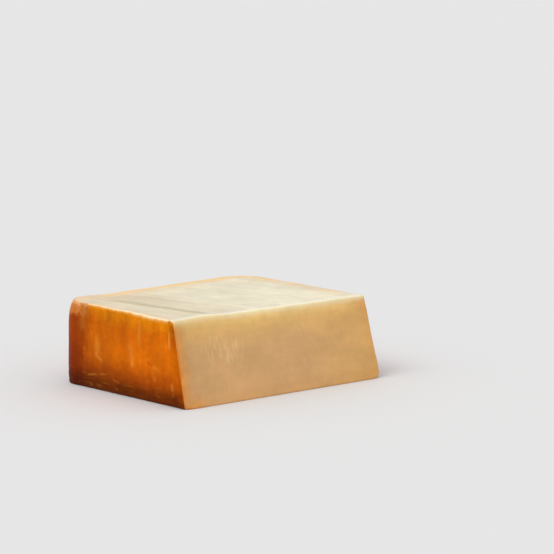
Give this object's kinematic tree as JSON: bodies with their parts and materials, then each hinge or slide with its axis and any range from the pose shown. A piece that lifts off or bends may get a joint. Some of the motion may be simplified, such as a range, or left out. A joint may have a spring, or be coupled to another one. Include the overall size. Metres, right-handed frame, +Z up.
{
  "type": "block of smoked gouda cheese",
  "caption": "Block of smoked gouda: flat cut top, slanting cut front, orange-brown smoked rind round the ends, back and underside.",
  "frame": {"origin": "on the underside, in the middle of the length and of the width", "axes": "+X along the long cut front, -Y out of the cut front, +Z up out of the cut top"},
  "size_m": [0.177, 0.1432, 0.057],
  "materials": {
    "cheese": "pale cream and tan cut faces, satin; orange-brown smoked rind with a waxy sheen"
  },
  "bodies": {
    "root": {"gouda_block": "cheese"}
  },
  "joints": []
}
